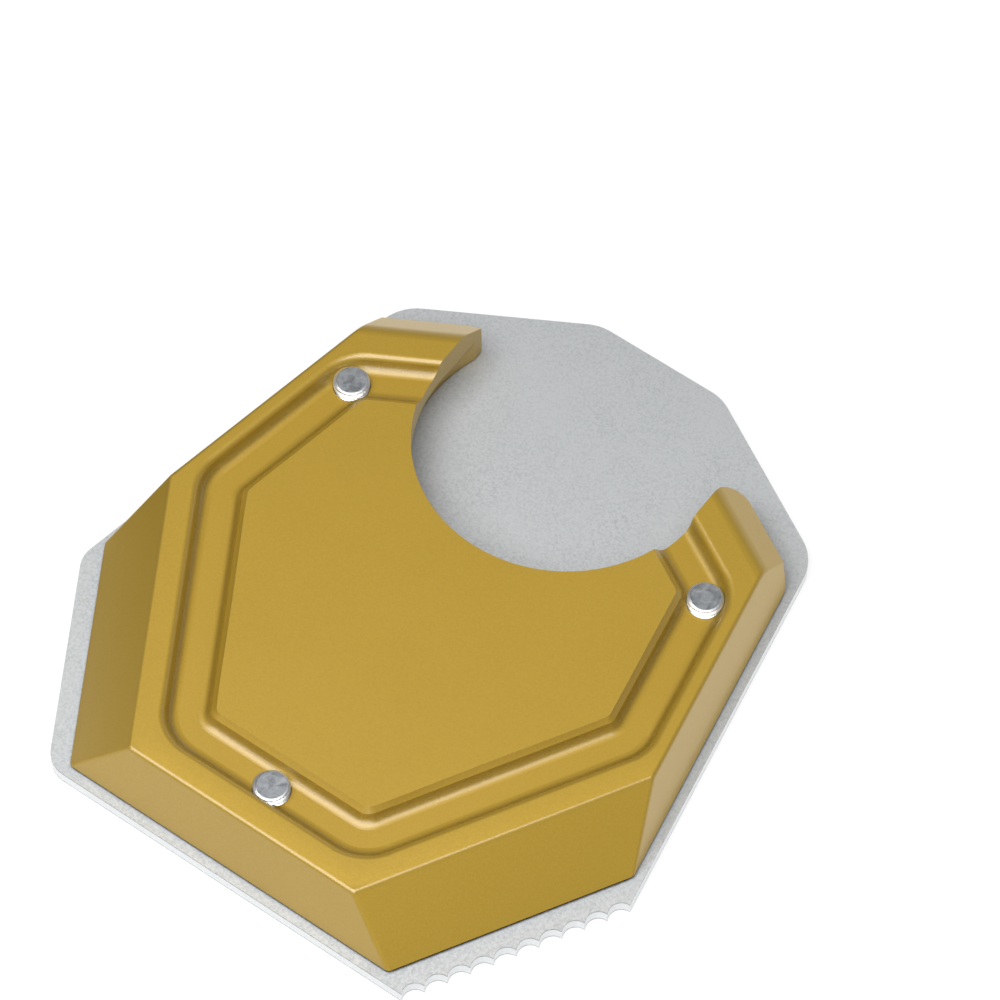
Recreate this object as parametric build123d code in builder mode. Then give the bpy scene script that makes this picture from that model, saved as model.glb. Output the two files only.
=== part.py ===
"""Enlarged foot for a motorbike side stand: a wide ground plate, the block clamped on it, and screws."""
import os
from math import cos, hypot, pi, radians, sin, tan

from build123d import *

os.makedirs("parts", exist_ok=True)

# Millimetres and degrees. X runs across the part, +Y towards its open end, Z up from the ground.
# The block is symmetric about x = 0. Each straight wall has the direction its face looks, measured from +X,
# and the distance of its foot from the origin; the front wall looks along -Y.
front_side_angle = -30.3
side_angle = 10.4
back_side_angle = 60.5
front_foot = 58.2
front_side_foot = 56.8
side_foot = 47.6
back_side_foot = 51.4

# Block: how far each sloped wall leans in over the full height, and the chamfer along the two back sides.
clamp_height = 10.3
front_lean = 4.1
front_side_lean = 10.8
side_lean = 2.7
back_chamfer_in = 5.0
back_chamfer_drop = 4.3
front_corner_round = 1.0
back_corner_round = 4.0
rim_edge_round = 0.8
back_crease_round = 4.0

# Channel sunk into the top: width of the rim outside it, its own width, its depth and its walls' slope.
rim_front = 4.85
rim_front_side = 4.25
rim_side = 2.5
rim_back_side = 5.7
channel_width = 7.85
channel_depth = 2.2
channel_draft = 23.0
channel_corner_round = 9.0
island_corner_round = 2.0

# Opening for the stand's own foot: half-round at the front, open to the back, with a pocket under its lip.
slot_radius = 25.1
slot_center_y = 32.7
arm_reach = 11.2
left_end_round = 8.0
right_tip_round = 3.0
foot_lip = 1.6
foot_pocket_height = 5.0

# Thin shadow gap round the block's foot.
foot_gap_height = 0.6
foot_gap_depth = 0.9

# Ground plate: how far it stands out beyond the block, its corners, and the scallops along one edge,
# whose tips rise beyond the line of that edge.
plate_thickness = 2.4
margin_front = 1.4
margin_front_side = 2.9
margin_side = 1.3
margin_plain_side = 0.8
margin_back_side = 6.5
plate_back_width = 24.48
plate_back_round = 8.0
plate_front_round = 5.0
scallop_count = 10
scallop_depth = 1.1
scallop_rise = 0.55
scallop_land = 0.1

# Countersunk screws with hexagon sockets, put in from below; insets are from the channel's outer edges.
screw_radius = 3.0
screw_length = 12.0
screw_tip_chamfer = 0.6
head_radius = 6.0
head_recess = 0.2
socket_size = 4.0
socket_depth = 2.0
screw_clearance = 0.1
screw_inset_front = 3.2
screw_inset_side = 4.0
screw_inset_back = 4.5

# Sizes that follow from those above.
top = plate_thickness + clamp_height
shoulder = top - back_chamfer_drop
floor = top - channel_depth
channel_slope = radians(channel_draft)
channel_slant = channel_depth / cos(channel_slope)
turn_reach = tan((pi / 2 - channel_slope) / 2)
channel_floor_round = 0.62 * channel_slant / turn_reach
rim_inner_round = 0.33 * channel_slant / turn_reach
island_bevel_in = 0.225 * channel_slant
island_bevel_down = 0.35 * channel_slant
head_height = head_radius - screw_radius
on_base = (Align.CENTER, Align.CENTER, Align.MIN)


def corner(wall_a, wall_b):
    """Point where two walls meet; a wall is the direction it looks and its distance from the origin."""
    a, b = radians(wall_a[0]), radians(wall_b[0])
    turn = sin(b - a)
    x = (wall_a[1] * sin(b) - wall_b[1] * sin(a)) / turn
    y = (wall_b[1] * cos(a) - wall_a[1] * cos(b)) / turn
    return x, y


def right_corners(front, front_side, side, back_side):
    """The three corners on the +X side, from the front to the back."""
    walls = [(-90, front), (front_side_angle, front_side), (side_angle, side), (back_side_angle, back_side)]
    return [corner(first, second) for first, second in zip(walls, walls[1:])]


def along_back(x, back_side):
    """Point of the back side's line at one x."""
    back = radians(back_side_angle)
    return x, (back_side - x * cos(back)) / sin(back)


def outline(front, front_side, side, back_side):
    """All corners of an outline; its back sides run on into the opening, where a straight back joins them."""
    right = right_corners(front, front_side, side, back_side)
    right.append(along_back(0.75 * slot_radius, back_side))
    return right + [(-x, y) for x, y in reversed(right)]


def sloped(angle, distance, height, lean, rise, side):
    """Plane of a wall at a distance at one height, leaning in over a rise; side is 1 for +X, -1 for -X."""
    x, y = side * cos(radians(angle)), sin(radians(angle))
    return Plane(origin=(x * distance, y * distance, height), z_dir=(x * rise, y * rise, lean))


rim_lines = (
    front_foot - front_lean,
    front_side_foot - front_side_lean,
    side_foot - side_lean,
    back_side_foot - back_chamfer_in,
)
rim_widths = (rim_front, rim_front_side, rim_side, rim_back_side)
channel_lines = tuple(line - width for line, width in zip(rim_lines, rim_widths))
island_lines = tuple(line - channel_width for line in channel_lines)

side_screw = corner(
    (side_angle, channel_lines[2] - screw_inset_side),
    (back_side_angle, channel_lines[3] - screw_inset_back),
)
front_screw = (0, screw_inset_front - channel_lines[0])
screw_points = [side_screw, front_screw, (-side_screw[0], side_screw[1])]

with BuildPart() as upper_clamp:
    # Upright block with rounded back corners, cut to its sloped walls and its back chamfers.
    with BuildSketch(Plane.XY.offset(plate_thickness)):
        with BuildLine():
            FilletPolyline(
                *outline(front_foot, front_side_foot, side_foot, back_side_foot),
                radius=[0, 0, back_corner_round, 0, 0, back_corner_round, 0, 0],
                close=True,
            )
        make_face()
    extrude(amount=clamp_height)
    split(bisect_by=sloped(-90, front_foot, plate_thickness, front_lean, clamp_height, 1), keep=Keep.BOTTOM)
    for side in (1, -1):
        front_side_wall = sloped(
            front_side_angle, front_side_foot, plate_thickness, front_side_lean, clamp_height, side
        )
        side_wall = sloped(side_angle, side_foot, plate_thickness, side_lean, clamp_height, side)
        back_chamfer = sloped(
            back_side_angle, back_side_foot, shoulder, back_chamfer_in, back_chamfer_drop, side
        )
        split(bisect_by=front_side_wall, keep=Keep.BOTTOM)
        split(bisect_by=side_wall, keep=Keep.BOTTOM)
        split(bisect_by=back_chamfer, keep=Keep.BOTTOM)
    rising = upper_clamp.edges().filter_by(lambda edge: abs((edge @ 0).Z - (edge @ 1).Z) > rim_edge_round)
    fillet(rising.sort_by(Axis.Y)[:4], radius=front_corner_round)
    crease = upper_clamp.faces().sort_by(Axis.Z)[-1].edges().filter_by(GeomType.LINE).sort_by(Axis.Y)
    fillet(crease[-3:-1], radius=back_crease_round)
    crease = upper_clamp.faces().sort_by(Axis.Z)[-1].edges().sort_by(Axis.Y)
    fillet(crease[0], radius=rim_edge_round)

    # Channel and the island inside it.
    with BuildSketch(Plane.XY.offset(top)):
        with BuildLine():
            FilletPolyline(
                *outline(*channel_lines),
                radius=channel_corner_round,
                close=True,
            )
        make_face()
    extrude(amount=-channel_depth, taper=channel_draft, mode=Mode.SUBTRACT)
    with BuildSketch(Plane.XY.offset(top)):
        with BuildLine():
            FilletPolyline(*outline(*island_lines), radius=island_corner_round, close=True)
        make_face()
    extrude(amount=-channel_depth, taper=-channel_draft)
    channel_floor = upper_clamp.faces().filter_by(Axis.Z).group_by(Axis.Z)[-2][0]
    fillet(channel_floor.outer_wire().edges().sort_by(Axis.Y)[0], radius=channel_floor_round)
    channel_floor = upper_clamp.faces().filter_by(Axis.Z).group_by(Axis.Z)[-2][0]
    fillet(channel_floor.inner_wires()[0].edges().sort_by(Axis.Y)[0], radius=channel_floor_round)
    tops = upper_clamp.faces().filter_by(Axis.Z).group_by(Axis.Z)[-1]
    rim = tops.filter_by(lambda face: face.inner_wires())[0]
    fillet(rim.inner_wires()[0].edges().sort_by(Axis.Y)[0], radius=rim_inner_round)
    tops = upper_clamp.faces().filter_by(Axis.Z).group_by(Axis.Z)[-1]
    island = tops.filter_by(lambda face: not face.inner_wires())[0]
    chamfer(island.edges(), length=island_bevel_in, length2=island_bevel_down, reference=island)

    # Opening to the back between two arms; the -X arm has a rounded back corner, the +X arm a rounded tip.
    beyond = outline(front_foot + 5, front_side_foot + 5, side_foot + 5, back_side_foot)
    arm_end = slot_center_y + arm_reach
    left_end = corner((180 - back_side_angle, back_side_foot), (90, arm_end))
    with BuildSketch(Plane.XY.offset(plate_thickness)) as plan:
        with BuildLine():
            FilletPolyline(
                *beyond[:4],
                (0, arm_end),
                left_end,
                *beyond[5:],
                radius=5 * [0] + [left_end_round] + 3 * [0],
                close=True,
            )
        make_face()
        with Locations((0, slot_center_y)):
            Circle(slot_radius, mode=Mode.SUBTRACT)
            Rectangle(2 * slot_radius, back_side_foot, align=(Align.CENTER, Align.MIN), mode=Mode.SUBTRACT)
        right_tip = corner((back_side_angle, back_side_foot), (0, slot_radius))
        fillet(plan.vertices().sort_by_distance(right_tip)[0], radius=right_tip_round)
    extrude(amount=clamp_height, mode=Mode.INTERSECT)

    # Pocket that holds the edge of the stand's foot down on the plate.
    with BuildSketch(Plane.XY.offset(plate_thickness)):
        with Locations((0, slot_center_y)):
            Circle(slot_radius + foot_lip)
    extrude(amount=foot_pocket_height, mode=Mode.SUBTRACT)

    # Shadow gap under the outer walls.
    with BuildSketch(Plane.XY.offset(plate_thickness)):
        with BuildLine():
            Polyline(
                *outline(front_foot + 5, front_side_foot + 5, side_foot + 5, back_side_foot + 5),
                close=True,
            )
        make_face()
        with BuildLine():
            Polyline(
                *outline(
                    front_foot - foot_gap_depth,
                    front_side_foot - foot_gap_depth,
                    side_foot - foot_gap_depth,
                    back_side_foot - foot_gap_depth,
                ),
                close=True,
            )
        make_face(mode=Mode.SUBTRACT)
    extrude(amount=foot_gap_height, mode=Mode.SUBTRACT)

    # Screw holes, with room for the upper end of each countersunk head.
    with Locations(*[(x, y, plate_thickness) for x, y in screw_points]):
        Cylinder(screw_radius + screw_clearance, clamp_height, align=on_base, mode=Mode.SUBTRACT)
    with Locations(*[(x, y, head_recess) for x, y in screw_points]):
        Cone(
            head_radius + screw_clearance,
            screw_radius + screw_clearance,
            head_height,
            align=on_base,
            mode=Mode.SUBTRACT,
        )

with BuildPart() as base_plate:
    plate_front = front_foot + margin_front
    plate_front_side = front_side_foot + margin_front_side
    plate_side = side_foot + margin_side
    plate_plain_side = side_foot + margin_plain_side
    plate_back_side = back_side_foot + margin_back_side
    back_corner = along_back(plate_back_width / 2, plate_back_side)
    plate_right = right_corners(plate_front, plate_front_side + scallop_rise, plate_side, plate_back_side)
    plate_right.append(back_corner)
    plain = right_corners(plate_front, plate_front_side, plate_plain_side, plate_back_side)
    plain.append(back_corner)
    plate_left = [(-x, y) for x, y in reversed(plain)]
    edge_start, edge_end = plate_right[0], plate_right[1]
    edge_length = hypot(edge_end[0] - edge_start[0], edge_end[1] - edge_start[1])
    scallop_pitch = edge_length / scallop_count
    half_chord = (scallop_pitch - scallop_land) / 2
    scallop_radius = (half_chord**2 + scallop_depth**2) / (2 * scallop_depth)
    out_x, out_y = cos(radians(front_side_angle)), sin(radians(front_side_angle))
    centers = []
    for number in range(scallop_count):
        along = (number + 0.5) / scallop_count
        x = edge_start[0] + along * (edge_end[0] - edge_start[0]) + (scallop_radius - scallop_depth) * out_x
        y = edge_start[1] + along * (edge_end[1] - edge_start[1]) + (scallop_radius - scallop_depth) * out_y
        centers.append((x, y))
    with BuildSketch():
        with BuildLine():
            FilletPolyline(
                *plate_right,
                *plate_left,
                radius=[0, 0] + 4 * [plate_back_round] + 2 * [plate_front_round],
                close=True,
            )
        make_face()
        with Locations(*centers):
            Circle(scallop_radius, mode=Mode.SUBTRACT)
    extrude(amount=plate_thickness)
    with Locations(*screw_points):
        Cylinder(head_radius + screw_clearance, head_recess, align=on_base, mode=Mode.SUBTRACT)
        Cylinder(screw_radius + screw_clearance, plate_thickness, align=on_base, mode=Mode.SUBTRACT)
    with Locations(*[(x, y, head_recess) for x, y in screw_points]):
        Cone(head_radius, screw_radius, head_height, align=on_base, mode=Mode.SUBTRACT)

with BuildPart() as clamp_screws:
    with Locations(*[(x, y, head_recess) for x, y in screw_points]):
        Cone(head_radius, screw_radius, head_height, align=on_base)
        Cylinder(screw_radius, screw_length - screw_tip_chamfer, align=on_base)
    with Locations(*[(x, y, head_recess + screw_length - screw_tip_chamfer) for x, y in screw_points]):
        Cone(screw_radius, screw_radius - screw_tip_chamfer, screw_tip_chamfer, align=on_base)
    with BuildSketch(Plane.XY.offset(head_recess)):
        with Locations(*screw_points):
            RegularPolygon(socket_size / 2, 6, major_radius=False)
    extrude(amount=socket_depth, mode=Mode.SUBTRACT)

upper_clamp.part.label = "upper_clamp"
base_plate.part.label = "base_plate"
clamp_screws.part.label = "clamp_screws"
export_step(upper_clamp.part, "parts/upper_clamp.step")
export_step(base_plate.part, "parts/base_plate.step")
export_step(clamp_screws.part, "parts/clamp_screws.step")
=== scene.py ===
"""Enlarged foot for a motorbike side stand: finishes, threaded screws and a studio."""

import math

import bmesh
import bpy
from bpy.props import FloatProperty, FloatVectorProperty, IntProperty, PointerProperty
from bpy.types import NodeSocket, Operator, Panel, PropertyGroup
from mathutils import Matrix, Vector


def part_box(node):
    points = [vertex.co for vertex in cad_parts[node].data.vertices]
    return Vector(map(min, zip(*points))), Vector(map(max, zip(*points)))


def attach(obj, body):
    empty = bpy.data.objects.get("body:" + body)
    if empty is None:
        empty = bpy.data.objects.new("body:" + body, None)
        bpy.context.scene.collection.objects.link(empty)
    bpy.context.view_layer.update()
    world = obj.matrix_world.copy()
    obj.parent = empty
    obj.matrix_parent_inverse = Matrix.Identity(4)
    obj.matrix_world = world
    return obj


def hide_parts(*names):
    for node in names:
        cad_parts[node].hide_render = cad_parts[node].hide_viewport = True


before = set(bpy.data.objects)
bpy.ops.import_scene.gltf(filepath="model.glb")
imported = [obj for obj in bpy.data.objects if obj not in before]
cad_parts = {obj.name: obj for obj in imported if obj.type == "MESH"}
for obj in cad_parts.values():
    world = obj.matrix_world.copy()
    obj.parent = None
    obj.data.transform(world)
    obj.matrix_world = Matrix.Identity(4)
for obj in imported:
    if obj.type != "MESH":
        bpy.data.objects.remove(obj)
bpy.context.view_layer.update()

bl_info = {
    "name": "Side stand foot",
    "version": (1, 0, 0),
    "blender": (4, 5, 0),
    "location": "3D View > Sidebar > Stand Foot",
    "description": "Finishes the block and the plate, threads the screws and sets the studio",
    "category": "Object",
}

MM = 0.001
# Points nearer than this count as one.
TOUCH = 0.001 * MM

# Sockets of a Mix node that mixes two colours.
MIX_SHARE, MIX_FROM, MIX_TO = 0, 6, 7
MIX_RESULT = 2
# Most of a noise lies between these two.
NOISE_SPAN = (0.3, 0.7)
OPENNESS_SAMPLES = 8

# In each pair below a share is 0 at the first value and 1 at the second. A tilt is the upward part
# of the surface's normal, 1 on a level face. An openness is 1 where no other face is near. A depth
# is measured down from the top of the piece.
# Except for the flecks and the screw's sawn end, the pairs below place painted light and shade:
# shade on the block's walls, inner corners and top edges, light on the plate's cut faces, a shadow
# line just under their top edge, and shade in the gap under the block.
WALL_TILT = (0.97, 0.82)
WALL_OPENNESS = (0.99, 0.91)
CORNER_OPENNESS = (0.9, 0.5)
EDGE_TILT = (0.995, 0.95)
EDGE_DEPTH = (0.7 * MM, 0.1 * MM)
FLECK_SPAN = (0.42, 0.68)
CUT_TILT = (0.5, 0.3)
CUT_SHADOW_DEPTH = (0.3 * MM, 0.15 * MM)
GAP_OPENNESS = (0.75, 0.35)
END_TILT = (0.95, 0.99)
SMUDGE_SPAN = (0.4, 1.0)

# Block: parts of slow clouds and fine grain in the dye's strength, the curve of the fallen rim, how
# far the roughness swings, and the refraction of clear sealed aluminium oxide.
CLOUD_PART, GRAIN_PART = 0.6, 0.4
CROWN_POWER = 2.0
BLOCK_SWING = 0.04
OXIDE_IOR = 1.65

# Plate: width of the slow patches, the share of painted shadow in the line under the cut faces' top
# edge, and the roughness's swing.
PATCH_WIDTH = 9 * MM
CUT_SHADOW_SHARE = 0.6
PLATE_SWING = 0.07

# Screws: widths of the smudges and scuffs, how far one screw's smudging differs from another's, and
# the roughness of the thread and of the sawn end.
SMUDGE_WIDTH = 1.6 * MM
SCUFF_WIDTH = 0.4 * MM
SCREW_SPREAD = 0.6
THREAD_ROUGHNESS = 0.4
END_ROUGHNESS = 0.55

# Thread with 60 degree flanks, in shares of the pitch: its depth, half of the crest's flat, and
# where the root starts from the middle of the crest.
THREAD_DEPTH = 0.6134
CREST_HALF = 1 / 16
ROOT_START = 3 / 8
RINGS_PER_TURN = 20
# Plain neck between the head and the thread.
NECK_LENGTH = 0.3 * MM
# Socket: the drill's cone at the bottom, as a share of the width and a depth, and the bevel at the
# mouth, as a width past the corners and a depth.
CONE_SHARE, CONE_DEPTH = 0.4, 0.3 * MM
MOUTH_WIDTH, MOUTH_DEPTH = 0.2 * MM, 0.15 * MM
# Small chamfer round the head: its inner edge, and its outer edge with the depth.
HEAD_INSET, HEAD_CHAMFER = 0.12 * MM, 0.08 * MM
# Rings on the flat of the sawn end, as shares of its radius.
END_RINGS = (0.97, 0.55)
SHARP_ANGLE = math.radians(32)

# Stage: half of the floor's width, the distances from the part between which the floor turns plain
# white, and how far the floor lies below the ground level and the dark card above it.
FLOOR_HALF = 4
FLOOR_TURN = (0.2, 0.8)
SHEET_GAP = 0.01 * MM
DARK_CARD = ((-1.2, -0.6, 0), (-0.07, -0.08, 0), (-0.07, 0.06, 0), (-1.2, 0.8, 0))
WHITE_CARD = ((-0.5, 0.7, 0), (0.9, 0.7, 0), (0.9, 0.7, 0.35), (-0.5, 0.7, 0.35))
CAMERA_PLACE = (0.29892, -0.39723, 0.82394)
SENSOR_WIDTH = 36


def linear(hex_colour):
    """An sRGB hex colour as linear red, green and blue."""
    parts = [int(hex_colour[i : i + 2], 16) / 255 for i in (1, 3, 5)]
    return tuple(c / 12.92 if c <= 0.04045 else ((c + 0.055) / 1.055) ** 2.4 for c in parts)


def with_alpha(colour):
    return (*colour, 1.0)


def add_node(tree, kind, inputs=None, **settings):
    """Adds a node with its settings, and gives each named or numbered input a value or a link."""
    made = tree.nodes.new(kind)
    for name, value in settings.items():
        setattr(made, name, value)
    for key, value in (inputs or {}).items():
        if isinstance(value, NodeSocket):
            tree.links.new(value, made.inputs[key])
        else:
            made.inputs[key].default_value = value
    return made


def new_material(name):
    """An empty node material and its tree."""
    material = bpy.data.materials.new(name)
    material.use_nodes = True
    material.node_tree.nodes.clear()
    return material, material.node_tree


def wear(piece, material):
    """Puts one material on a whole piece."""
    piece.data.materials.clear()
    piece.data.materials.append(material)


class BlockFinish(PropertyGroup):
    """Dyed and sealed oxide on the blasted aluminium block."""

    dye: FloatVectorProperty(
        name="Dye",
        description="Colour of the dyed oxide over the metal",
        subtype="COLOR",
        size=3,
        min=0,
        max=1,
        default=linear("#BD9F3A"),
    )
    dye_deep: FloatVectorProperty(
        name="Deep dye",
        description="Colour where the dye has taken a little more strongly",
        subtype="COLOR",
        size=3,
        min=0,
        max=1,
        default=linear("#B59730"),
    )
    # Painted shade: the deep colour that darkens the inner corners and the channel's slanted walls.
    corner: FloatVectorProperty(
        name="Corner dye",
        description="Colour in the inner corners, where the dye pools and the blast does not reach",
        subtype="COLOR",
        size=3,
        min=0,
        max=1,
        default=linear("#260F02"),
    )
    corner_reach: FloatProperty(
        name="Corner reach",
        description="How near another face has to be to make an inner corner",
        default=1.8 * MM,
        min=0.1 * MM,
        max=10 * MM,
        precision=4,
        unit="LENGTH",
    )
    # Painted shade: the darker colour on the rounded top edges, which dims their highlight.
    edge_shade: FloatVectorProperty(
        name="Edge dye",
        description="Colour of the rounded top edges, where the dye takes more deeply",
        subtype="COLOR",
        size=3,
        min=0,
        max=1,
        default=linear("#AE9236"),
    )
    front_side_angle: FloatProperty(
        name="Front side",
        description="How far the two front side walls look away from the sides towards the front",
        default=math.radians(30.3),
        subtype="ANGLE",
    )
    crown_width: FloatProperty(
        name="Crown width",
        description="Width of the strip along the front edges where the tumbled rim falls away",
        default=3.6 * MM,
        min=0.1 * MM,
        max=20 * MM,
        precision=4,
        unit="LENGTH",
    )
    crown_drop: FloatProperty(
        name="Crown drop",
        description="How far the rim falls away at the front edges",
        default=0.24 * MM,
        min=0,
        max=1 * MM,
        precision=5,
        unit="LENGTH",
    )
    grain: FloatProperty(
        name="Blast grain",
        description="Width of one dimple of the blasted surface under the oxide",
        default=0.35 * MM,
        min=0.05 * MM,
        max=5 * MM,
        precision=5,
        unit="LENGTH",
    )
    cloud: FloatProperty(
        name="Dye clouds",
        description="Width of the slow changes in the dye's strength",
        default=16 * MM,
        min=1 * MM,
        max=100 * MM,
        unit="LENGTH",
    )
    roughness: FloatProperty(
        name="Roughness",
        description="Roughness of the metal under the oxide",
        default=0.74,
        min=0,
        max=1,
        subtype="FACTOR",
    )
    seal_roughness: FloatProperty(
        name="Seal roughness",
        description="Roughness of the sealed oxide's own surface",
        default=0.3,
        min=0,
        max=1,
        subtype="FACTOR",
    )


class PlateFinish(PropertyGroup):
    """Bead-blasted steel of the ground plate."""

    steel: FloatVectorProperty(
        name="Steel",
        description="Colour of the blasted steel",
        subtype="COLOR",
        size=3,
        min=0,
        max=1,
        default=linear("#C5C7C8"),
    )
    fleck: FloatVectorProperty(
        name="Fleck",
        description="Colour of the darker flecks between bead marks",
        subtype="COLOR",
        size=3,
        min=0,
        max=1,
        default=linear("#AEB1B3"),
    )
    # Painted light: the paler colour of the upright cut faces, standing in for the light they
    # catch.
    cut: FloatVectorProperty(
        name="Cut edge",
        description="Colour of the plate's cut edges, which the blast leaves brighter",
        subtype="COLOR",
        size=3,
        min=0,
        max=1,
        default=linear("#E6E8E9"),
    )
    # Painted shade: the dark grey of the gap under the block and of the shadow line just under the
    # top edge of the cut faces.
    shadow_grey: FloatVectorProperty(
        name="Grime",
        description="Colour in the gap under the block and in the burr line of the cut edges",
        subtype="COLOR",
        size=3,
        min=0,
        max=1,
        default=linear("#4A4640"),
    )
    gap_reach: FloatProperty(
        name="Gap reach",
        description="How near another face has to be to hold grime",
        default=0.8 * MM,
        min=0.1 * MM,
        max=10 * MM,
        precision=4,
        unit="LENGTH",
    )
    bead: FloatProperty(
        name="Bead mark",
        description="Width of one bead's dent",
        default=0.45 * MM,
        min=0.05 * MM,
        max=5 * MM,
        precision=5,
        unit="LENGTH",
    )
    roughness: FloatProperty(
        name="Roughness",
        description="Roughness of the blasted steel",
        default=0.7,
        min=0,
        max=1,
        subtype="FACTOR",
    )


class ScrewSizes(PropertyGroup):
    """The three countersunk screws."""

    radius: FloatProperty(
        name="Radius",
        description="Outer radius of the thread",
        default=3.0 * MM,
        min=1 * MM,
        max=10 * MM,
        precision=4,
        unit="LENGTH",
    )
    pitch: FloatProperty(
        name="Pitch",
        description="Rise of the thread in one turn",
        default=1.0 * MM,
        min=0.3 * MM,
        max=3 * MM,
        precision=4,
        unit="LENGTH",
    )
    tip_round: FloatProperty(
        name="Tip rounding",
        description="Radius of the rounded edge of the tip",
        default=0.5 * MM,
        min=0.1 * MM,
        max=2 * MM,
        precision=4,
        unit="LENGTH",
    )
    head_radius: FloatProperty(
        name="Head radius",
        description="Largest radius of the countersunk head",
        default=6.0 * MM,
        min=2 * MM,
        max=20 * MM,
        precision=4,
        unit="LENGTH",
    )
    socket_width: FloatProperty(
        name="Socket width",
        description="Width across the flats of the hexagon socket",
        default=4.0 * MM,
        min=1 * MM,
        max=10 * MM,
        precision=4,
        unit="LENGTH",
    )
    socket_depth: FloatProperty(
        name="Socket depth",
        description="Depth of the hexagon socket",
        default=2.0 * MM,
        min=0.5 * MM,
        max=6 * MM,
        precision=4,
        unit="LENGTH",
    )
    segments: IntProperty(
        name="Segments",
        description="Points round the screw; a multiple of six keeps the socket's corners",
        default=72,
        min=24,
        max=180,
    )
    steel: FloatVectorProperty(
        name="Steel",
        description="Colour of the plain steel",
        subtype="COLOR",
        size=3,
        min=0,
        max=1,
        default=linear("#E4E5E6"),
    )
    sawn: FloatVectorProperty(
        name="Sawn end",
        description="Colour of the sawn end, which has gone dull",
        subtype="COLOR",
        size=3,
        min=0,
        max=1,
        default=linear("#B4B7BA"),
    )
    smudge: FloatVectorProperty(
        name="Smudge",
        description="Colour of the darker smudges on the sawn end",
        subtype="COLOR",
        size=3,
        min=0,
        max=1,
        default=linear("#606367"),
    )


class StudioSettings(PropertyGroup):
    """White floor, softbox, cards and the camera."""

    softbox_watts: FloatProperty(
        name="Softbox",
        description="Power of the overhead softbox",
        default=7.7,
        min=0,
        max=100,
        unit="POWER",
    )
    softbox_length: FloatProperty(
        name="Softbox length",
        description="Level side of the softbox",
        default=0.75,
        min=0.05,
        max=3,
        unit="LENGTH",
    )
    softbox_width: FloatProperty(
        name="Softbox width",
        description="Sloped side of the softbox",
        default=0.6,
        min=0.05,
        max=3,
        unit="LENGTH",
    )
    softbox_place: FloatVectorProperty(
        name="Softbox place",
        description="Middle of the softbox, which looks at the part",
        subtype="TRANSLATION",
        unit="LENGTH",
        size=3,
        default=(0.0, -0.22, 0.6),
    )
    room_light: FloatProperty(
        name="Room light",
        description="Strength of the light from all round",
        default=0.17,
        min=0,
        max=2,
    )
    floor_glow: FloatProperty(
        name="Floor white",
        description="White that the floor shows the camera besides the light that falls on it",
        default=0.8,
        min=0,
        max=1,
    )
    floor_bounce: FloatProperty(
        name="Floor bounce",
        description="White that the floor gives to the part besides the light that falls on it",
        default=0.92,
        min=0,
        max=1,
    )
    floor_colour: FloatVectorProperty(
        name="Floor",
        description="Colour of the floor under the lamps",
        subtype="COLOR",
        size=3,
        min=0,
        max=1,
        default=linear("#777777"),
    )
    dark_card: FloatVectorProperty(
        name="Dark card",
        description="Colour of the card on the floor at the left, which keeps the left wall dark",
        subtype="COLOR",
        size=3,
        min=0,
        max=1,
        default=linear("#2C2C2C"),
    )
    white_card: FloatVectorProperty(
        name="White card",
        description="Colour of the low card behind the part, which the back walls reflect",
        subtype="COLOR",
        size=3,
        min=0,
        max=1,
        default=linear("#F2F2F2"),
    )
    azimuth: FloatProperty(
        name="Azimuth",
        description="Where the camera stands round the part, from the front towards +X",
        default=math.radians(35.98),
        subtype="ANGLE",
    )
    elevation: FloatProperty(
        name="Elevation",
        description="How far the camera looks down",
        default=math.radians(57.75),
        subtype="ANGLE",
    )
    lens: FloatProperty(
        name="Lens",
        description="Focal length on a sensor 36 mm wide",
        default=215.6,
        min=10,
        max=1000,
        unit="CAMERA",
    )


def top_reach(node, direction):
    """How far the flat top of a CAD node reaches in one level direction."""
    points = [node.matrix_world @ vert.co for vert in node.data.vertices]
    top = max(point.z for point in points)
    return max(point.dot(direction) for point in points if point.z > top - TOUCH)


def fallen_rim(tree, place, finish):
    """0 on the flat of the top, rising to 1 at the three front edges of the tumbled rim."""
    across, ahead = math.cos(finish.front_side_angle), -math.sin(finish.front_side_angle)
    nearest = None
    for direction in (Vector((0, -1, 0)), Vector((across, ahead, 0)), Vector((-across, ahead, 0))):
        reach = top_reach(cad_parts["upper_clamp"], direction)
        along = add_node(
            tree,
            "ShaderNodeVectorMath",
            {0: place, 1: direction},
            operation="DOT_PRODUCT",
        )
        inside = add_node(
            tree,
            "ShaderNodeMath",
            {0: reach, 1: along.outputs["Value"]},
            operation="SUBTRACT",
        ).outputs[0]
        if nearest is None:
            nearest = inside
        else:
            nearest = add_node(
                tree,
                "ShaderNodeMath",
                {0: nearest, 1: inside, 2: finish.crown_width},
                operation="SMOOTH_MIN",
            ).outputs[0]
    share = add_node(
        tree,
        "ShaderNodeMapRange",
        {"Value": nearest, "From Min": finish.crown_width, "From Max": 0.0},
    )
    return add_node(
        tree,
        "ShaderNodeMath",
        {0: share.outputs[0], 1: CROWN_POWER},
        operation="POWER",
    ).outputs[0]


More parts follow.
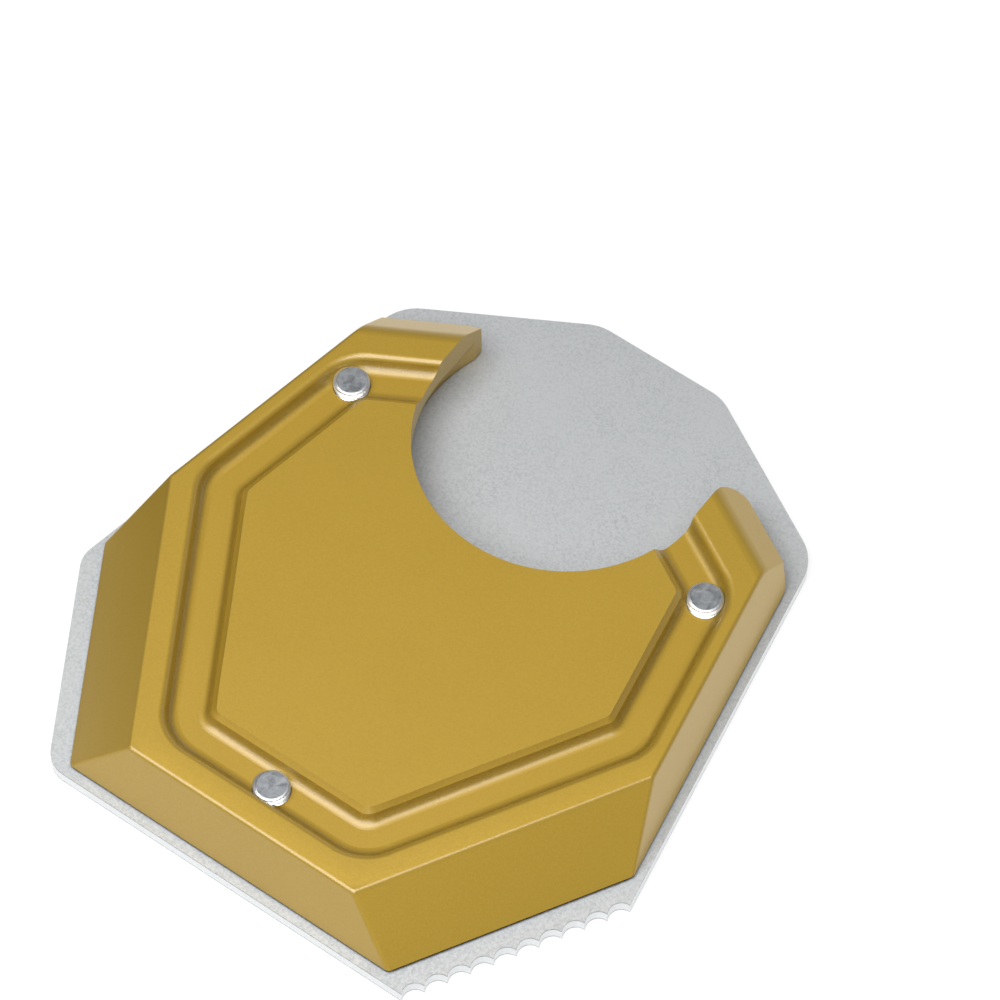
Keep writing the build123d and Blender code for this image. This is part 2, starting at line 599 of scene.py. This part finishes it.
def gold_anodised_aluminium(finish):
    # Anodised aluminium, bead blasted before the dye: a satin gold metal under a clear hard oxide,
    # so the colour is deep from above and pales towards a grazing view.
    material, tree = new_material("gold_anodised_aluminium_satin")
    place = add_node(tree, "ShaderNodeTexCoord").outputs["Object"]
    # The real grain is near 0.1 mm; it is drawn as wide as the setting so that it shows.
    grain = add_node(
        tree,
        "ShaderNodeTexNoise",
        {"Vector": place, "Scale": 1 / finish.grain, "Detail": 2.0, "Roughness": 0.6},
    )
    cloud = add_node(
        tree,
        "ShaderNodeTexNoise",
        {"Vector": place, "Scale": 1 / finish.cloud, "Detail": 3.0, "Roughness": 0.5},
    )
    fine = add_node(
        tree,
        "ShaderNodeMath",
        {0: grain.outputs["Fac"], 1: GRAIN_PART},
        operation="MULTIPLY",
    )
    strength = add_node(
        tree,
        "ShaderNodeMath",
        {0: cloud.outputs["Fac"], 1: CLOUD_PART, 2: fine.outputs[0]},
        operation="MULTIPLY_ADD",
    )
    dye = add_node(
        tree,
        "ShaderNodeMix",
        {
            MIX_SHARE: strength.outputs[0],
            MIX_FROM: with_alpha(finish.dye),
            MIX_TO: with_alpha(finish.dye_deep),
        },
        data_type="RGBA",
    )
    # Painted shade: the inner corners and the channel's slanted walls are darkened towards the deep
    # corner colour, standing in for the shade there.
    surface = add_node(tree, "ShaderNodeNewGeometry")
    tilt = add_node(tree, "ShaderNodeSeparateXYZ", {0: surface.outputs["Normal"]}).outputs["Z"]
    # 1 on an open face, falling where other faces of the block close it in.
    openness = add_node(
        tree,
        "ShaderNodeAmbientOcclusion",
        {"Distance": finish.corner_reach},
        samples=OPENNESS_SAMPLES,
        only_local=True,
    ).outputs["AO"]
    slant = add_node(
        tree,
        "ShaderNodeMapRange",
        {"Value": tilt, "From Min": WALL_TILT[0], "From Max": WALL_TILT[1]},
    )
    sunken = add_node(
        tree,
        "ShaderNodeMapRange",
        {"Value": openness, "From Min": WALL_OPENNESS[0], "From Max": WALL_OPENNESS[1]},
    )
    wall = add_node(
        tree,
        "ShaderNodeMath",
        {0: slant.outputs[0], 1: sunken.outputs[0]},
        operation="MULTIPLY",
    )
    corner = add_node(
        tree,
        "ShaderNodeMapRange",
        {"Value": openness, "From Min": CORNER_OPENNESS[0], "From Max": CORNER_OPENNESS[1]},
    )
    shade_share = add_node(
        tree,
        "ShaderNodeMath",
        {0: wall.outputs[0], 1: corner.outputs[0]},
        operation="MAXIMUM",
    )
    shaded_dye = add_node(
        tree,
        "ShaderNodeMix",
        {
            MIX_SHARE: shade_share.outputs[0],
            MIX_FROM: dye.outputs[MIX_RESULT],
            MIX_TO: with_alpha(finish.corner),
        },
        data_type="RGBA",
    )
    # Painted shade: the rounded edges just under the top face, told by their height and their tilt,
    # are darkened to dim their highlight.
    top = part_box("upper_clamp")[1].z
    height = add_node(tree, "ShaderNodeSeparateXYZ", {0: place}).outputs["Z"]
    upper = add_node(
        tree,
        "ShaderNodeMapRange",
        {"Value": height, "From Min": top - EDGE_DEPTH[0], "From Max": top - EDGE_DEPTH[1]},
    )
    turned = add_node(
        tree,
        "ShaderNodeMapRange",
        {"Value": tilt, "From Min": EDGE_TILT[0], "From Max": EDGE_TILT[1]},
    )
    edge = add_node(
        tree,
        "ShaderNodeMath",
        {0: upper.outputs[0], 1: turned.outputs[0]},
        operation="MULTIPLY",
    )
    edge_shade_share = add_node(
        tree,
        "ShaderNodeMath",
        {0: edge.outputs[0], 1: grain.outputs["Fac"]},
        operation="MULTIPLY",
    )
    colour = add_node(
        tree,
        "ShaderNodeMix",
        {
            MIX_SHARE: edge_shade_share.outputs[0],
            MIX_FROM: shaded_dye.outputs[MIX_RESULT],
            MIX_TO: with_alpha(finish.edge_shade),
        },
        data_type="RGBA",
    )
    roughness = add_node(
        tree,
        "ShaderNodeMapRange",
        {
            "Value": grain.outputs["Fac"],
            "From Min": NOISE_SPAN[0],
            "From Max": NOISE_SPAN[1],
            "To Min": finish.roughness - BLOCK_SWING,
            "To Max": finish.roughness + BLOCK_SWING,
        },
    )
    crown = add_node(
        tree,
        "ShaderNodeBump",
        {"Height": fallen_rim(tree, place, finish), "Strength": 1.0, "Distance": finish.crown_drop},
        invert=True,
    )
    bump = add_node(
        tree,
        "ShaderNodeBump",
        {
            "Height": grain.outputs["Fac"],
            "Strength": 0.12,
            "Distance": 0.02 * MM,
            "Normal": crown.outputs[0],
        },
    )
    shader = add_node(
        tree,
        "ShaderNodeBsdfPrincipled",
        {
            "Base Color": colour.outputs[MIX_RESULT],
            "Metallic": 1.0,
            "Roughness": roughness.outputs[0],
            "Coat Weight": 1.0,
            "Coat Roughness": finish.seal_roughness,
            "Coat IOR": OXIDE_IOR,
            "Normal": bump.outputs[0],
        },
    )
    add_node(tree, "ShaderNodeOutputMaterial", {"Surface": shader.outputs[0]})
    return material


def bead_blasted_steel(finish):
    # Steel sheet, blasted with glass beads: matt pale grey with fine dark flecks and no direction.
    material, tree = new_material("bead_blasted_steel_matt")
    place = add_node(tree, "ShaderNodeTexCoord").outputs["Object"]
    # Real bead marks are near 0.1 mm; they are drawn as wide as the setting so that they show.
    beads = add_node(
        tree,
        "ShaderNodeTexNoise",
        {"Vector": place, "Scale": 1 / finish.bead, "Detail": 3.0, "Roughness": 0.65},
    )
    patches = add_node(
        tree,
        "ShaderNodeTexNoise",
        {"Vector": place, "Scale": 1 / PATCH_WIDTH, "Detail": 2.0},
    )
    flecks = add_node(
        tree,
        "ShaderNodeMapRange",
        {"Value": beads.outputs["Fac"], "From Min": FLECK_SPAN[0], "From Max": FLECK_SPAN[1]},
    )
    shade = add_node(
        tree,
        "ShaderNodeMath",
        {0: flecks.outputs[0], 1: patches.outputs["Fac"]},
        operation="MULTIPLY",
    )
    colour = add_node(
        tree,
        "ShaderNodeMix",
        {
            MIX_SHARE: shade.outputs[0],
            MIX_FROM: with_alpha(finish.steel),
            MIX_TO: with_alpha(finish.fleck),
        },
        data_type="RGBA",
    )
    # Cut edges: painted light on the upright faces, and a painted shadow line just under the top
    # edge.
    surface = add_node(tree, "ShaderNodeNewGeometry")
    tilt = add_node(tree, "ShaderNodeSeparateXYZ", {0: surface.outputs["True Normal"]}).outputs["Z"]
    level = add_node(
        tree,
        "ShaderNodeMath",
        {0: tilt},
        operation="ABSOLUTE",
    ).outputs[0]
    upright = add_node(
        tree,
        "ShaderNodeMapRange",
        {"Value": level, "From Min": CUT_TILT[0], "From Max": CUT_TILT[1]},
    ).outputs[0]
    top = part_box("base_plate")[1].z
    height = add_node(tree, "ShaderNodeSeparateXYZ", {0: place}).outputs["Z"]
    cut_shadow = add_node(
        tree,
        "ShaderNodeMapRange",
        {
            "Value": height,
            "From Min": top - CUT_SHADOW_DEPTH[0],
            "From Max": top - CUT_SHADOW_DEPTH[1],
            "To Max": CUT_SHADOW_SHARE,
        },
    ).outputs[0]
    cut_shadow_line = add_node(
        tree,
        "ShaderNodeMath",
        {0: cut_shadow, 1: upright},
        operation="MULTIPLY",
    ).outputs[0]
    # 1 on an open face, falling where the block or the plate itself closes it in; it places the
    # painted shade in the gap under the block.
    openness = add_node(
        tree,
        "ShaderNodeAmbientOcclusion",
        {"Distance": finish.gap_reach},
        samples=OPENNESS_SAMPLES,
    ).outputs["AO"]
    gap = add_node(
        tree,
        "ShaderNodeMapRange",
        {"Value": openness, "From Min": GAP_OPENNESS[0], "From Max": GAP_OPENNESS[1]},
    ).outputs[0]
    # Painted shade: the gap under the block and the line under the cut faces' top edge are
    # darkened.
    smudge_and_shade = add_node(
        tree,
        "ShaderNodeMath",
        {0: cut_shadow_line, 1: gap},
        operation="MAXIMUM",
    ).outputs[0]
    lit_cut_faces = add_node(
        tree,
        "ShaderNodeMix",
        {
            MIX_SHARE: upright,
            MIX_FROM: colour.outputs[MIX_RESULT],
            MIX_TO: with_alpha(finish.cut),
        },
        data_type="RGBA",
    )
    shaded = add_node(
        tree,
        "ShaderNodeMix",
        {
            MIX_SHARE: smudge_and_shade,
            MIX_FROM: lit_cut_faces.outputs[MIX_RESULT],
            MIX_TO: with_alpha(finish.shadow_grey),
        },
        data_type="RGBA",
    )
    roughness = add_node(
        tree,
        "ShaderNodeMapRange",
        {
            "Value": beads.outputs["Fac"],
            "From Min": NOISE_SPAN[0],
            "From Max": NOISE_SPAN[1],
            "To Min": finish.roughness - PLATE_SWING,
            "To Max": finish.roughness + PLATE_SWING,
        },
    )
    bump = add_node(
        tree,
        "ShaderNodeBump",
        {"Height": beads.outputs["Fac"], "Strength": 0.35, "Distance": 0.04 * MM},
    )
    shader = add_node(
        tree,
        "ShaderNodeBsdfPrincipled",
        {
            "Base Color": shaded.outputs[MIX_RESULT],
            "Metallic": 1.0,
            "Roughness": roughness.outputs[0],
            "Normal": bump.outputs[0],
        },
    )
    add_node(tree, "ShaderNodeOutputMaterial", {"Surface": shader.outputs[0]})
    return material


def plain_screw_steel(sizes):
    # Plain bright steel of a cut screw: a clear grey gloss, smudged and scuffed on the sawn end.
    material, tree = new_material("plain_screw_steel_bright")
    place = add_node(tree, "ShaderNodeTexCoord").outputs["Object"]
    smudges = add_node(
        tree,
        "ShaderNodeTexNoise",
        {
            "Vector": place,
            "Scale": 1 / SMUDGE_WIDTH,
            "Detail": 4.0,
            "Roughness": 0.6,
            "Distortion": 0.8,
        },
    )
    scuffs = add_node(
        tree,
        "ShaderNodeTexNoise",
        {"Vector": place, "Scale": 1 / SCUFF_WIDTH, "Detail": 2.0},
    )
    # The sawn end is told by its level face; the rounded edge and the thread stay bright.
    surface = add_node(tree, "ShaderNodeNewGeometry")
    tilt = add_node(tree, "ShaderNodeSeparateXYZ", {0: surface.outputs["True Normal"]}).outputs["Z"]
    end = add_node(
        tree,
        "ShaderNodeMapRange",
        {"Value": tilt, "From Min": END_TILT[0], "From Max": END_TILT[1]},
    ).outputs[0]
    # Each screw is smudged by its own amount.
    smudge_and_shade = add_node(
        tree,
        "ShaderNodeMath",
        {
            0: surface.outputs["Random Per Island"],
            1: SCREW_SPREAD,
            2: smudges.outputs["Fac"],
        },
        operation="MULTIPLY_ADD",
    )
    dirt_share = add_node(
        tree,
        "ShaderNodeMapRange",
        {"Value": smudge_and_shade.outputs[0], "From Min": SMUDGE_SPAN[0], "From Max": SMUDGE_SPAN[1]},
    )
    dulled = add_node(
        tree,
        "ShaderNodeMix",
        {
            MIX_SHARE: dirt_share.outputs[0],
            MIX_FROM: with_alpha(sizes.sawn),
            MIX_TO: with_alpha(sizes.smudge),
        },
        data_type="RGBA",
    )
    colour = add_node(
        tree,
        "ShaderNodeMix",
        {
            MIX_SHARE: end,
            MIX_FROM: with_alpha(sizes.steel),
            MIX_TO: dulled.outputs[MIX_RESULT],
        },
        data_type="RGBA",
    )
    roughness = add_node(
        tree,
        "ShaderNodeMapRange",
        {"Value": end, "To Min": THREAD_ROUGHNESS, "To Max": END_ROUGHNESS},
    )
    bump = add_node(
        tree,
        "ShaderNodeBump",
        {"Height": scuffs.outputs["Fac"], "Strength": 0.4, "Distance": 0.05 * MM},
    )
    shader = add_node(
        tree,
        "ShaderNodeBsdfPrincipled",
        {
            "Base Color": colour.outputs[MIX_RESULT],
            "Metallic": 1.0,
            "Roughness": roughness.outputs[0],
            "Normal": bump.outputs[0],
        },
    )
    add_node(tree, "ShaderNodeOutputMaterial", {"Surface": shader.outputs[0]})
    return material


def screw_boxes():
    """Lowest and highest corner of each screw, from the CAD node's loose solids."""
    solids = bmesh.new()
    solids.from_mesh(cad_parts["clamp_screws"].data)
    bmesh.ops.remove_doubles(solids, verts=solids.verts, dist=TOUCH)
    waiting = set(solids.verts)
    boxes = []
    while waiting:
        found = [waiting.pop()]
        for vert in found:
            for edge in vert.link_edges:
                other = edge.other_vert(vert)
                if other in waiting:
                    waiting.discard(other)
                    found.append(other)
        low = Vector([min(v.co[i] for v in found) for i in range(3)])
        high = Vector([max(v.co[i] for v in found) for i in range(3)])
        boxes.append((low, high))
    solids.free()
    # Back to front and then right to left, so that the order is the same each run.
    return sorted(boxes, key=lambda box: (-round(box[0].y / MM), -round(box[0].x / MM)))


def thread_radius(sizes, turn):
    """Radius of the thread; turn is the share of a pitch from the middle of a crest."""
    depth = THREAD_DEPTH * sizes.pitch
    off = abs((turn + 0.5) % 1.0 - 0.5)
    share = (off - CREST_HALF) / (ROOT_START - CREST_HALF)
    return sizes.radius - depth * min(1.0, max(0.0, share))


def tip_limit(sizes, below):
    """Largest radius that the rounded tip allows at a distance below its end."""
    if below > sizes.tip_round:
        return sizes.radius
    drop = sizes.tip_round - below
    return sizes.radius - sizes.tip_round + math.sqrt(sizes.tip_round**2 - drop**2)


def screw_rings(sizes, length):
    """Rings of (radius, height) round a screw on its head, from the socket's bottom to the tip."""
    count = sizes.segments
    angles = [2 * math.pi * k / count for k in range(count)]
    flat = sizes.socket_width / 2
    # The socket's flats lie a sixth of a turn apart.
    half_side = math.pi / 6
    hexagon = [flat / math.cos((a + half_side) % (math.pi / 3) - half_side) for a in angles]
    mouth = max(hexagon) + MOUTH_WIDTH
    head = sizes.head_radius
    neck = head - sizes.radius
    rings = [
        [(CONE_SHARE * r, sizes.socket_depth + CONE_DEPTH) for r in hexagon],
        [(r, sizes.socket_depth) for r in hexagon],
        [(r, MOUTH_DEPTH) for r in hexagon],
        [(mouth, 0.0)] * count,
        [(head - HEAD_INSET, 0.0)] * count,
        [(head - HEAD_CHAMFER, HEAD_CHAMFER)] * count,
        [(sizes.radius, neck)] * count,
    ]
    start = neck + NECK_LENGTH
    steps = math.ceil((length - start) / (sizes.pitch / RINGS_PER_TURN))
    for step in range(steps + 1):
        height = start + (length - start) * step / steps
        # The thread deepens over its first turn.
        run_in = min(1.0, (height - start) / sizes.pitch)
        ring = []
        for a in angles:
            radius = thread_radius(sizes, height / sizes.pitch - a / (2 * math.pi))
            radius = sizes.radius + (radius - sizes.radius) * run_in
            ring.append((min(radius, tip_limit(sizes, length - height)), height))
        rings.append(ring)
    end = sizes.radius - sizes.tip_round
    rings += [[(share * end, length)] * count for share in END_RINGS]
    return angles, rings


def build_screws(sizes):
    """One mesh with the three threaded screws, each inside the box of its CAD solid."""
    shape = bmesh.new()
    for low, high in screw_boxes():
        length = high.z - low.z
        angles, rings = screw_rings(sizes, length)
        middle = (low + high) / 2
        rows = []
        for ring in rings:
            rows.append([
                shape.verts.new((middle.x + r * math.cos(a), middle.y + r * math.sin(a), low.z + z))
                for a, (r, z) in zip(angles, ring)
            ])
        count = len(angles)
        for lower, upper in zip(rows, rows[1:]):
            for k in range(count):
                n = (k + 1) % count
                shape.faces.new((lower[k], lower[n], upper[n], upper[k]))
        shape.faces.new(list(reversed(rows[0])))
        shape.faces.new(rows[-1])
    mesh = bpy.data.meshes.new("threaded_screws")
    bmesh.ops.recalc_face_normals(shape, faces=shape.faces)
    shape.to_mesh(mesh)
    shape.free()
    for face in mesh.polygons:
        face.use_smooth = True
    mesh.set_sharp_from_angle(angle=SHARP_ANGLE)
    return mesh


def seen_level(tree, seen, given):
    """One strength where the camera sees a glow, also through clear pieces; another elsewhere."""
    path = add_node(tree, "ShaderNodeLightPath").outputs
    rays = add_node(
        tree,
        "ShaderNodeMath",
        {0: path["Is Camera Ray"], 1: path["Is Transmission Ray"]},
        operation="MAXIMUM",
    )
    return add_node(
        tree,
        "ShaderNodeMath",
        {0: rays.outputs[0], 1: seen - given, 2: given},
        operation="MULTIPLY_ADD",
    ).outputs[0]


def white_floor(studio):
    # Matt white paper: plain white to the eye, a little darker only near the part, which shades it.
    material, tree = new_material("white_paper_floor")
    place = add_node(tree, "ShaderNodeNewGeometry").outputs["Position"]
    reach = add_node(tree, "ShaderNodeVectorMath", {0: place}, operation="LENGTH").outputs["Value"]
    away = add_node(
        tree,
        "ShaderNodeMapRange",
        {"Value": reach, "From Min": FLOOR_TURN[0], "From Max": FLOOR_TURN[1]},
    )
    near_glow = seen_level(tree, studio.floor_glow, studio.floor_bounce)
    far_glow = seen_level(tree, 1.0, studio.floor_bounce)
    paper = add_node(tree, "ShaderNodeBsdfDiffuse", {"Color": with_alpha(studio.floor_colour)})
    near = add_node(tree, "ShaderNodeEmission", {"Strength": near_glow})
    far = add_node(tree, "ShaderNodeEmission", {"Strength": far_glow})
    lit = add_node(tree, "ShaderNodeAddShader", {0: paper.outputs[0], 1: near.outputs[0]})
    mixed = add_node(
        tree,
        "ShaderNodeMixShader",
        {0: away.outputs[0], 1: lit.outputs[0], 2: far.outputs[0]},
    )
    add_node(tree, "ShaderNodeOutputMaterial", {"Surface": mixed.outputs[0]})
    return material


def plain_card(name, colour):
    # Matt card: a plain tone for the metal to reflect.
    material, tree = new_material(name)
    paper = add_node(tree, "ShaderNodeEmission", {"Color": with_alpha(colour)})
    add_node(tree, "ShaderNodeOutputMaterial", {"Surface": paper.outputs[0]})
    return material


def flat_mesh(name, corners):
    """One flat piece of the stage."""
    mesh = bpy.data.meshes.new(name)
    mesh.from_pydata(corners, [], [tuple(range(len(corners)))])
    piece = bpy.data.objects.new(name, mesh)
    bpy.context.scene.collection.objects.link(piece)
    return piece


class STANDFOOT_OT_finish_block(Operator):
    """Give the clamp block its satin gold anodised finish"""

    bl_idname = "standfoot.finish_block"
    bl_label = "Finish the block"

    def execute(self, context):
        wear(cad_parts["upper_clamp"], gold_anodised_aluminium(context.scene.standfoot_block))
        return {"FINISHED"}


class STANDFOOT_OT_finish_plate(Operator):
    """Give the ground plate its bead-blasted finish"""

    bl_idname = "standfoot.finish_plate"
    bl_label = "Finish the plate"

    def execute(self, context):
        wear(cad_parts["base_plate"], bead_blasted_steel(context.scene.standfoot_plate))
        return {"FINISHED"}


class STANDFOOT_OT_thread_screws(Operator):
    """Put threaded screws with hexagon sockets in the place of the plain ones"""

    bl_idname = "standfoot.thread_screws"
    bl_label = "Thread the screws"

    def execute(self, context):
        sizes = context.scene.standfoot_screws
        screws = bpy.data.objects.new("threaded_screws", build_screws(sizes))
        context.scene.collection.objects.link(screws)
        steel = plain_screw_steel(sizes)
        wear(screws, steel)
        wear(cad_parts["clamp_screws"], steel)
        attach(screws, "root")
        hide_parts("clamp_screws")
        return {"FINISHED"}


class STANDFOOT_OT_set_studio(Operator):
    """Set the floor, the cards, the softbox and the camera"""

    bl_idname = "standfoot.set_studio"
    bl_label = "Set the studio"

    def execute(self, context):
        scene = context.scene
        studio = scene.standfoot_studio
        scene.view_settings.view_transform = "Standard"

        world = bpy.data.worlds.new("white_room")
        world.use_nodes = True
        tree = world.node_tree
        tree.nodes.clear()
        level = seen_level(tree, 1.0, studio.room_light)
        room = add_node(tree, "ShaderNodeBackground", {"Color": (1, 1, 1, 1), "Strength": level})
        add_node(tree, "ShaderNodeOutputWorld", {"Surface": room.outputs[0]})
        scene.world = world

        turns = ((-1, -1), (1, -1), (1, 1), (-1, 1))
        floor = flat_mesh("floor", [(x * FLOOR_HALF, y * FLOOR_HALF, 0) for x, y in turns])
        floor.location.z = -SHEET_GAP
        wear(floor, white_floor(studio))
        # The cards are there for reflections alone.
        dark = flat_mesh("dark_card", DARK_CARD)
        dark.location.z = SHEET_GAP
        white = flat_mesh("white_card", WHITE_CARD)
        for card, colour in ((dark, studio.dark_card), (white, studio.white_card)):
            wear(card, plain_card(card.name + "_matt", colour))
            card.visible_camera = False
            card.visible_diffuse = False
            card.visible_shadow = False

        lamp = bpy.data.lights.new("softbox", "AREA")
        lamp.shape = "RECTANGLE"
        lamp.size = studio.softbox_length
        lamp.size_y = studio.softbox_width
        lamp.energy = studio.softbox_watts
        softbox = bpy.data.objects.new("softbox", lamp)
        softbox.location = studio.softbox_place
        softbox.rotation_euler = studio.softbox_place.to_track_quat("Z", "Y").to_euler()
        softbox.visible_camera = False
        scene.collection.objects.link(softbox)

        camera = bpy.data.cameras.new("camera")
        camera.lens = studio.lens
        camera.sensor_width = SENSOR_WIDTH
        stand = bpy.data.objects.new("camera", camera)
        stand.location = CAMERA_PLACE
        stand.rotation_euler = (math.pi / 2 - studio.elevation, 0, studio.azimuth)
        scene.collection.objects.link(stand)
        scene.camera = stand
        return {"FINISHED"}


class STANDFOOT_PT_panel(Panel):
    """Steps and settings of the side stand foot"""

    bl_idname = "STANDFOOT_PT_panel"
    bl_label = "Side stand foot"
    bl_space_type = "VIEW_3D"
    bl_region_type = "UI"
    bl_category = "Stand Foot"

    def draw(self, context):
        for operator in OPERATORS:
            self.layout.operator(operator.bl_idname)
        for name in SETTINGS:
            box = self.layout.box()
            settings = getattr(context.scene, name)
            for key in settings.bl_rna.properties.keys():
                if key not in {"rna_type", "name"}:
                    box.prop(settings, key)


OPERATORS = (
    STANDFOOT_OT_finish_block,
    STANDFOOT_OT_finish_plate,
    STANDFOOT_OT_thread_screws,
    STANDFOOT_OT_set_studio,
)
SETTINGS = {
    "standfoot_block": BlockFinish,
    "standfoot_plate": PlateFinish,
    "standfoot_screws": ScrewSizes,
    "standfoot_studio": StudioSettings,
}


def register():
    for settings in SETTINGS.values():
        bpy.utils.register_class(settings)
    for operator in OPERATORS:
        bpy.utils.register_class(operator)
    bpy.utils.register_class(STANDFOOT_PT_panel)
    for name, settings in SETTINGS.items():
        setattr(bpy.types.Scene, name, PointerProperty(type=settings))


def unregister():
    for name in SETTINGS:
        delattr(bpy.types.Scene, name)
    bpy.utils.unregister_class(STANDFOOT_PT_panel)
    for operator in reversed(OPERATORS):
        bpy.utils.unregister_class(operator)
    for settings in reversed(SETTINGS.values()):
        bpy.utils.unregister_class(settings)


def main():
    register()
    bpy.ops.standfoot.finish_block()
    bpy.ops.standfoot.finish_plate()
    bpy.ops.standfoot.thread_screws()
    bpy.ops.standfoot.set_studio()


if __name__ == "__main__":
    main()
